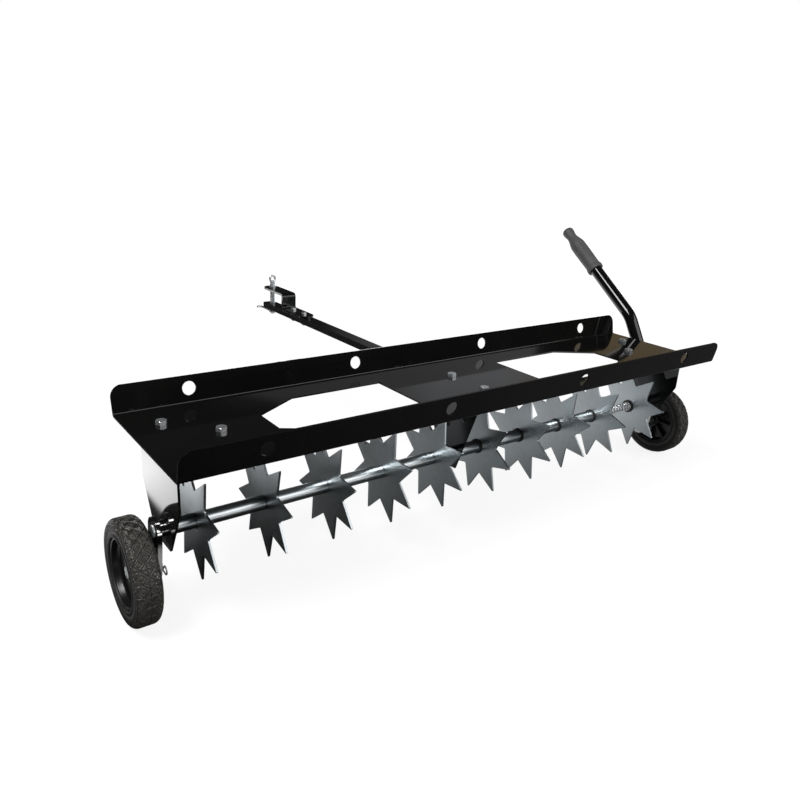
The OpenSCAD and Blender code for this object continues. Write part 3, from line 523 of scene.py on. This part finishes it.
def hairpin_path(front, hold, wire):
    """Line of a hairpin clip in its own plane (u, v): a straight leg on v = 0, a round loop at the
    front, and a second leg that bends around the pin of radius hold and flares at its end."""
    straight = np.stack([np.linspace(-hold * 2.4, front - hold * 1.5, 24), np.zeros(24)], -1)
    loop_r = (hold + wire * 1.5) * 0.62
    a = np.linspace(-math.pi / 2, math.pi * 0.72, 28)
    loop = np.stack([front - loop_r + loop_r * np.cos(a), loop_r + loop_r * np.sin(a)], -1)
    u = np.linspace(loop[-1, 0] - loop_r * 0.5, -hold * 1.9, 40)
    bulge = np.exp(-((u / (hold * 1.15)) ** 2))
    flare = smooth_step((-u - hold * 1.1) / (hold * 0.8))
    v = wire * 1.35 + (hold + wire * 0.75 - wire * 1.35) * bulge + wire * 0.9 * flare
    second = np.stack([u, v], -1)
    line = np.concatenate([straight[:-1], loop, second])
    step = np.concatenate([[0], np.cumsum(np.linalg.norm(np.diff(line, axis=0), axis=1))])
    even = np.linspace(0, step[-1], 150)
    line = np.stack([np.interp(even, step, line[:, k]) for k in (0, 1)], -1)
    kernel = np.ones(7) / 7
    padded = np.pad(line, ((3, 3), (0, 0)), mode="edge")
    return np.stack([np.convolve(padded[:, k], kernel, mode="valid") for k in (0, 1)], -1)


def make_clip(name, origin, u_axis, v_axis, front, hold, wire):
    """Round wire carried along the hairpin's line, which is laid in the plane of two axes."""
    line = hairpin_path(front, hold, wire)
    path = origin + line[:, :1] * u_axis + line[:, 1:] * v_axis
    normal = np.broadcast_to(np.cross(u_axis, v_axis), path.shape)
    return surface_mesh(name, carried(path, normal, wire / 2, 12), caps=True)


# The lever's grip and the weld


def make_grip():
    """Profile turned about the lever's upper line: radius(s) swells from a flared tip through a
    narrow neck to the palm, and ends in a collar; a ripple of shallow rings runs over the palm."""
    low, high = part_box("lever_grip")
    top_slope, low_slope = math.radians(37.5), math.radians(60)
    low_length, top_length = 0.175, 0.242
    length, bore, bore_depth = 0.115, 0.01255, 0.012
    ripple_height, ripple_pitch = 0.00022, 0.0032
    along = np.array([0, math.cos(top_slope), math.sin(top_slope)])
    square = np.array([0, -math.sin(top_slope), math.cos(top_slope)])
    across = np.array([1.0, 0, 0])
    corner = ROD + low_length * np.array([0, math.cos(low_slope), math.sin(low_slope)])
    corner[0] = (low[0] + high[0]) / 2
    tip = corner + top_length * along
    s = np.linspace(0, length, 230)
    at_mm, radius_mm = np.array([
        (0, 8.8), (1.2, 11.2), (4, 12.0), (8, 11.9), (14, 10.9), (20, 10.0), (26, 10.9), (34, 13.4),
        (42, 15.6), (60, 15.9), (80, 15.6), (100, 15.2), (105, 15.4), (107, 16.8), (109, 17.0),
        (113.5, 16.9), (115, 16.2)]).T
    radius = np.interp(s * 1000, at_mm, radius_mm) / 1000
    kernel = np.ones(9) / 9
    soft = np.convolve(np.pad(radius, 4, mode="edge"), kernel, mode="valid")
    palm = smooth_step((s - 0.036) / 0.006) * smooth_step((0.100 - s) / 0.004)
    soft = soft - ripple_height * palm * (0.5 - 0.5 * np.cos(2 * math.pi * s / ripple_pitch))
    b = np.linspace(0, 2 * math.pi, 72, endpoint=False)
    ring = np.cos(b)[:, None] * across + np.sin(b)[:, None] * square
    axis = tip[None] - s[:, None] * along
    outer = axis[:, None] + soft[:, None, None] * ring[None]
    mouth = axis[-1][None, None] + bore * ring[None]
    deep = (axis[-1] + bore_depth * along)[None, None] + bore * ring[None]
    crown = axis[0][None, None] + np.array([0.0005, 0.004, 0.0075])[:, None, None] * ring[None]
    points = np.concatenate([crown, outer, mouth, deep])
    return surface_mesh("lever_grip_rubber", points, caps=True)


def make_weld(name, centre, radius, bead, steps=180):
    """Fillet ring about X: a tube of the bead's radius on a circle, whose size ripples as
    bead * (1 + 0.13 * sin(k a)) like the scales of a weld."""
    a = np.linspace(0, 2 * math.pi, steps, endpoint=False)
    ripple = bead * (1 + 0.13 * np.sin(26 * a))
    b = np.linspace(0, 2 * math.pi, 10, endpoint=False)
    ring = radius + ripple[:, None] * np.cos(b)[None, :]
    points = np.stack([
        centre[0] + ripple[:, None] * np.sin(b)[None, :],
        centre[1] + ring * np.cos(a)[:, None], centre[2] + ring * np.sin(a)[:, None]], -1)
    return surface_mesh(name, points, wrap_rows=True)


# The stage


def matrix_of(across, upward, back, place):
    """Matrix whose columns are an object's three axes and its place."""
    turn = np.eye(4)
    turn[:3, 0], turn[:3, 1], turn[:3, 2], turn[:3, 3] = across, upward, back, place
    return Matrix(turn.tolist())


def add_camera(scene):
    """Camera fitted to the photograph: its axes from heading, tilt and roll."""
    camera = bpy.data.objects.new("camera", bpy.data.cameras.new("camera"))
    scene.collection.objects.link(camera)
    scene.camera = camera
    camera.data.sensor_width = 36
    camera.data.lens = 32.24
    camera.data.clip_start = 0.05
    place = (-0.7429, -1.06655, 0.57193)
    heading, tilt, roll = math.radians(37.75), math.radians(19.51), math.radians(3.32)
    forward = np.array([
        math.sin(heading) * math.cos(tilt), math.cos(heading) * math.cos(tilt), -math.sin(tilt)])
    right = np.array([math.cos(heading), -math.sin(heading), 0.0])
    up = np.cross(right, forward)
    across = math.cos(roll) * right + math.sin(roll) * up
    upward = math.cos(roll) * up - math.sin(roll) * right
    camera.matrix_world = matrix_of(across, upward, -forward, place)


def add_floor(scene):
    """Square paper floor under the wheels."""
    reach = 12
    corners = [(-reach, -reach, 0), (reach, -reach, 0), (reach, reach, 0), (-reach, reach, 0)]
    mesh = bpy.data.meshes.new("studio_floor")
    mesh.from_pydata(corners, [], [(0, 1, 2, 3)])
    floor = bpy.data.objects.new("studio_floor", mesh)
    scene.collection.objects.link(floor)
    floor.data.materials.append(studio_floor())


def add_lamps(scene):
    """Two soft boxes, each aimed at a point of the machine."""
    for name, place, width, height, power, aim in (
        ("key_softbox", (-1.9, -0.7, 2.75), 1.2, 1.2, 72, (0, 0, 0.1)),
        ("front_right_softbox", (1.3, -2.5, 1.45), 2.8, 1.7, 34, (0, -0.3, 0.12)),
    ):
        lamp = bpy.data.objects.new(name, bpy.data.lights.new(name, "AREA"))
        lamp.data.shape = "RECTANGLE"
        lamp.data.size = width
        lamp.data.size_y = height
        lamp.data.energy = power
        scene.collection.objects.link(lamp)
        back = np.array(place) - np.array(aim)
        back /= np.linalg.norm(back)
        side = np.cross((0, 1, 0) if abs(back[2]) > 0.9 else (0, 0, 1), back)
        side /= np.linalg.norm(side)
        lamp.matrix_world = matrix_of(side, np.cross(back, side), back, place)


def add_world(scene):
    """White to the camera and even to matt surfaces. Mirrors and metal see a dark studio with one
    pale wall to the right and behind, warm in its middle, as the photograph's deck shows it."""
    world = bpy.data.worlds.new("white_studio")
    scene.world = world
    world.use_nodes = True
    tree = world.node_tree
    tree.nodes.clear()
    ray = add(tree, "ShaderNodeLightPath").outputs
    facing = add(tree, "ShaderNodeSeparateXYZ", {
        "Vector": add(tree, "ShaderNodeTexCoord").outputs["Generated"]}).outputs
    # Strength of the wall: it begins at the right and behind, and is weaker past X = 0.9
    rise = ranged(tree, facing["X"], 0.50, 0.62, 0.0, 0.32)
    behind = ranged(tree, facing["Y"], 0.0, 0.15, 0.0, 1.0)
    past = ranged(tree, facing["X"], 0.86, 0.94, 1.0, 0.3)
    pale = maths(tree, "MULTIPLY", maths(tree, "MULTIPLY_ADD", rise, behind, 0.02), past)
    # Colour of the wall: warm about X = 0.8
    off_warm = maths(tree, "ABSOLUTE", maths(tree, "ADD", facing["X"], -0.80))
    warm = ranged_colour(tree, off_warm, 0.02, 0.11, linear("#d8c096"), linear("#f4f6fa"))
    seen = maths(tree, "MAXIMUM", ray["Is Camera Ray"], ray["Is Transmission Ray"])
    plain = add(tree, "ShaderNodeBackground", {"Color": (1, 1, 1, 1), "Strength": 0.45})
    sheen = add(tree, "ShaderNodeBackground", {"Color": warm, "Strength": pale})
    white = add(tree, "ShaderNodeBackground", {"Color": (1, 1, 1, 1), "Strength": 1.0})
    mirrored = add(tree, "ShaderNodeMixShader", {
        "Fac": ray["Is Glossy Ray"], 1: plain.outputs[0], 2: sheen.outputs[0]})
    shown = add(tree, "ShaderNodeMixShader", {
        "Fac": seen, 1: mirrored.outputs[0], 2: white.outputs[0]})
    add(tree, "ShaderNodeOutputWorld", {"Surface": shown.outputs[0]})


def studio_floor():
    """Matt paper floor: white to the camera, with the machine's soft shadow near it. The black coat
    and the metal see it as the photograph's room shows in them: a bright card left of the machine,
    pale to the right behind it, and in front dark close by and pale farther away."""

    def surface(tree, place):
        ray = add(tree, "ShaderNodeLightPath").outputs
        along = add(tree, "ShaderNodeSeparateXYZ", {"Vector": place}).outputs
        away = add(tree, "ShaderNodeVectorMath", {0: place}, operation="LENGTH").outputs["Value"]
        glow_level = ranged(tree, away, 0.8, 1.9, 0.86, 1.0)
        # Painted shadow: as the coat and metal see it, the floor is dark near the machine, standing
        # in for the machine's shadow, and pale farther behind
        behind = ranged(tree, along["Y"], -0.30, 0.12, 0.04, 1.0)
        off_card = maths(tree, "ABSOLUTE", maths(tree, "ADD", along["X"], 0.613))
        left_card = ranged(tree, off_card, 0.027, 0.035, 3.6, 0.07)
        right_card = ranged(tree, along["X"], -0.40, 0.35, 0.07, 2.1)
        cards = maths(tree, "MAXIMUM", left_card, right_card)
        # In front, the floor stays dark close by in the same painted shadow, and turns pale farther
        # away
        front = ranged(tree, along["Y"], -1.0, -0.7, 1.6, 0.0)
        mirror_level = maths(tree, "MULTIPLY_ADD", behind, cards, front)
        paper = add(tree, "ShaderNodeBsdfDiffuse", {"Color": linear("#b4b4b4")})
        mirrored = add(tree, "ShaderNodeEmission", {
            "Color": (1, 1, 1, 1), "Strength": mirror_level})
        glow = add(tree, "ShaderNodeEmission", {"Color": (1, 1, 1, 1), "Strength": glow_level})
        shadow = add(tree, "ShaderNodeBsdfDiffuse", {"Color": (0.17, 0.17, 0.17, 1)})
        lit = add(tree, "ShaderNodeAddShader", {0: glow.outputs[0], 1: shadow.outputs[0]})
        unseen = add(tree, "ShaderNodeMixShader", {
            "Fac": ray["Is Glossy Ray"], 1: paper.outputs[0], 2: mirrored.outputs[0]})
        return add(tree, "ShaderNodeMixShader", {
            "Fac": ray["Is Camera Ray"], 1: unseen.outputs[0], 2: lit.outputs[0]}).outputs[0]

    return new_material("white_paper_floor", surface)


# What a user may change


class AeratorSizes(bpy.types.PropertyGroup):
    """Sizes that belong to the looks alone."""

    tread_depth: bpy.props.FloatProperty(
        name="Tread depth", description="Depth of the tyres' grooves", default=0.0018,
        min=0.0005, max=0.003, unit="LENGTH")
    tread_lozenges: bpy.props.IntProperty(
        name="Lozenges", description="Lozenges around each tyre", default=27, min=20, max=50)
    spring_turns: bpy.props.IntProperty(
        name="Spring turns", description="Turns of the compression spring", default=15,
        min=8, max=20)
    edge_round: bpy.props.FloatProperty(
        name="Edge round", description="Round on the edges of sheet metal", default=EDGE,
        min=0.0001, max=0.001, unit="LENGTH")


class AeratorColours(bpy.types.PropertyGroup):
    """Colours of the finishes."""

    powder_coat: bpy.props.FloatVectorProperty(
        name="Powder coat", description="Gloss black coating of the folded steel",
        default=linear("#08090a")[:3], subtype="COLOR", min=0, max=1)
    galvanised: bpy.props.FloatVectorProperty(
        name="Galvanised", description="Stars",
        default=linear("#aab0b3")[:3], subtype="COLOR", min=0, max=1)
    zinc: bpy.props.FloatVectorProperty(
        name="Zinc", description="Plated bolts, nuts, pins, rod, axles and clips",
        default=linear("#dcdfe1")[:3], subtype="COLOR", min=0, max=1)
    tyre: bpy.props.FloatVectorProperty(
        name="Tyre", description="Rubber of the tyres and of the rod's washers",
        default=linear("#151413")[:3], subtype="COLOR", min=0, max=1)
    grip: bpy.props.FloatVectorProperty(
        name="Grip", description="Rubber of the lever's grip", default=linear("#58585a")[:3],
        subtype="COLOR", min=0, max=1)
    plastic: bpy.props.FloatVectorProperty(
        name="Plastic", description="Rims, plugs and bushes", default=linear("#0b0b0c")[:3],
        subtype="COLOR", min=0, max=1)


# One operator for each piece or group of like pieces


class AERATOR_OT_sheet_metal(bpy.types.Operator):
    """Finishes the tray, the end plates, the hanger, the drawbar and the hitch strap"""

    bl_idname = "aerator.sheet_metal"
    bl_label = "Sheet metal"

    def execute(self, context):
        edge = context.scene.aerator_sizes.edge_round
        for name in ("tray", "end_plate_left", "end_plate_right", "centre_hanger", "hitch_strap"):
            finish_node(name, powder_coated_steel(), edge)
        finish_node("tow_tube", powder_coated_steel(), 0.0012)
        return {"FINISHED"}


class AERATOR_OT_rod_and_stars(bpy.types.Operator):
    """Finishes the cross rod, its stars, spacer tubes and washers"""

    bl_idname = "aerator.rod_and_stars"
    bl_label = "Rod and stars"

    def execute(self, context):
        for name in STARS:
            finish_node(name, galvanised_sheet())
        for name in SPACERS:
            finish_node(name, drawn_tube(), 0.0004)
        finish_node("cross_rod", zinc_plating(), 0.0004)
        finish_node("rod_washers", washer_rubber())
        return {"FINISHED"}


class AERATOR_OT_spring(bpy.types.Operator):
    """Winds the compression spring"""

    bl_idname = "aerator.spring"
    bl_label = "Spring"

    def execute(self, context):
        spring = dress(make_spring(), spring_wire())
        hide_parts("compression_spring")
        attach(spring, "crank")
        return {"FINISHED"}


class AERATOR_OT_cranks(bpy.types.Operator):
    """Finishes the crank arms, the wheel axles with their spacers, and the weld at the rod"""

    bl_idname = "aerator.cranks"
    bl_label = "Cranks and axles"

    def execute(self, context):
        for side in SIDES:
            finish_node("crank_arm_" + side, rolled_flat_bar(), 0.0006)
            finish_node("wheel_axle_" + side, zinc_plating(), 0.0004)
        finish_node("axle_spacers", drawn_tube(), 0.0004)
        weld_r, bead = 0.0066, 0.0016
        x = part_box("crank_arm_left")[0][0]
        weld = dress(make_weld("rod_end_weld", (x, ROD[1], ROD[2]), weld_r, bead), zinc_plating())
        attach(weld, "crank")
        return {"FINISHED"}


class AERATOR_OT_lever(bpy.types.Operator):
    """Finishes the lever and moulds its grip"""

    bl_idname = "aerator.lever"
    bl_label = "Lever and grip"

    def execute(self, context):
        finish_node("lever", powder_coated_steel(), 0.0005, 50)
        grip = dress(make_grip(), grip_rubber())
        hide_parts("lever_grip")
        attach(grip, "crank")
        return {"FINISHED"}


class AERATOR_OT_wheels(bpy.types.Operator):
    """Moulds the treaded tyres and the dished rims, and finishes their bushes"""

    bl_idname = "aerator.wheels"
    bl_label = "Wheels"

    def execute(self, context):
        for side in SIDES:
            body = "wheel_" + side
            tyre = dress(make_tyre(side), tyre_rubber())
            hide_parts("tyre_" + side)
            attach(tyre, body)
            rim = dress(make_rim(side), moulded_polypropylene())
            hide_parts("rim_" + side)
            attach(rim, body)
            finish_node("wheel_bush_" + side, drawn_tube())
        return {"FINISHED"}


class AERATOR_OT_hitch(bpy.types.Operator):
    """Finishes the hitch pin and bends its clip and the axles' clips"""

    bl_idname = "aerator.hitch"
    bl_label = "Pins and clips"

    def execute(self, context):
        finish_node("hitch_pin", zinc_plating())
        pin = middle("hitch_pin")
        pin_r, axle_r, axle_clip_wire, axle_clip_front = 0.00575, 0.006, 0.002, 0.027
        low, high = (np.array(v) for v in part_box("hitch_clip"))
        wire = high[2] - low[2]
        clip = dress(make_clip(
            "hitch_hairpin", np.array([pin[0], pin[1], (low[2] + high[2]) / 2]),
            np.array([0, 1.0, 0]), np.array([-1.0, 0, 0]),
            high[1] - wire / 2 - pin[1], pin_r, wire), zinc_plating())
        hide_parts("hitch_clip")
        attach(clip, "hitch_clip")

        low, high = (np.array(v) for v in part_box("axle_clips"))
        axle = middle("wheel_axle_left")
        lean = math.atan2(axle[1] - ROD[1], ROD[2] - axle[2])
        up = np.array([0, -math.sin(lean), math.cos(lean)])
        back = np.array([0, -math.cos(lean), -math.sin(lean)])
        wire = axle_clip_wire
        for side, x in (("left", low[0] + wire / 2), ("right", high[0] - wire / 2)):
            axle = middle("wheel_axle_" + side)
            clip = dress(make_clip(
                "axle_hairpin_" + side, np.array([x, axle[1], axle[2]]), back,
                up if side == "left" else -up, axle_clip_front, axle_r, wire), zinc_plating())
            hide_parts("axle_clips")
            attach(clip, "crank")
        return {"FINISHED"}


class AERATOR_OT_fasteners(bpy.types.Operator):
    """Finishes bolts, nuts, plugs and bushes"""

    bl_idname = "aerator.fasteners"
    bl_label = "Fasteners and bushes"

    def execute(self, context):
        for name in ("hitch_bolts", "hitch_nuts", "tray_bolts", "tray_nuts", "rod_nut"):
            finish_node(name, zinc_plating(), angle=25)
        for name in ("tube_plugs", "plate_bush_left", "plate_bush_right", "hanger_bush"):
            finish_node(name, moulded_polypropylene(), 0.0006)
        return {"FINISHED"}


class AERATOR_OT_stage(bpy.types.Operator):
    """Sets up the camera, the floor, the lamps and the white studio around the machine"""

    bl_idname = "aerator.stage"
    bl_label = "Stage"

    def execute(self, context):
        scene = context.scene
        scene.view_settings.view_transform = "Standard"
        add_camera(scene)
        add_floor(scene)
        add_lamps(scene)
        add_world(scene)
        return {"FINISHED"}


class AERATOR_PT_panel(bpy.types.Panel):
    """Lists the aerator's sizes, colours and pieces"""

    bl_idname = "AERATOR_PT_panel"
    bl_label = "Tow behind aerator"
    bl_space_type = "VIEW_3D"
    bl_region_type = "UI"
    bl_category = "Aerator"

    def draw(self, context):
        for group in (context.scene.aerator_sizes, context.scene.aerator_colours):
            for name in group.__annotations__:
                self.layout.prop(group, name)
        for operator in OPERATORS:
            self.layout.operator(operator.bl_idname)


OPERATORS = (
    AERATOR_OT_sheet_metal, AERATOR_OT_rod_and_stars, AERATOR_OT_spring, AERATOR_OT_cranks,
    AERATOR_OT_lever, AERATOR_OT_wheels, AERATOR_OT_hitch, AERATOR_OT_fasteners, AERATOR_OT_stage)
GROUPS = (AeratorSizes, AeratorColours)


def register():
    for kind in (*GROUPS, *OPERATORS, AERATOR_PT_panel):
        bpy.utils.register_class(kind)
    bpy.types.Scene.aerator_sizes = bpy.props.PointerProperty(type=AeratorSizes)
    bpy.types.Scene.aerator_colours = bpy.props.PointerProperty(type=AeratorColours)


def unregister():
    del bpy.types.Scene.aerator_colours
    del bpy.types.Scene.aerator_sizes
    for kind in (AERATOR_PT_panel, *reversed(OPERATORS), *reversed(GROUPS)):
        bpy.utils.unregister_class(kind)


def main():
    """Registers the classes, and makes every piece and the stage."""
    register()
    for operator in OPERATORS:
        group, name = operator.bl_idname.split(".")
        getattr(getattr(bpy.ops, group), name)()


if __name__ == "__main__":
    main()
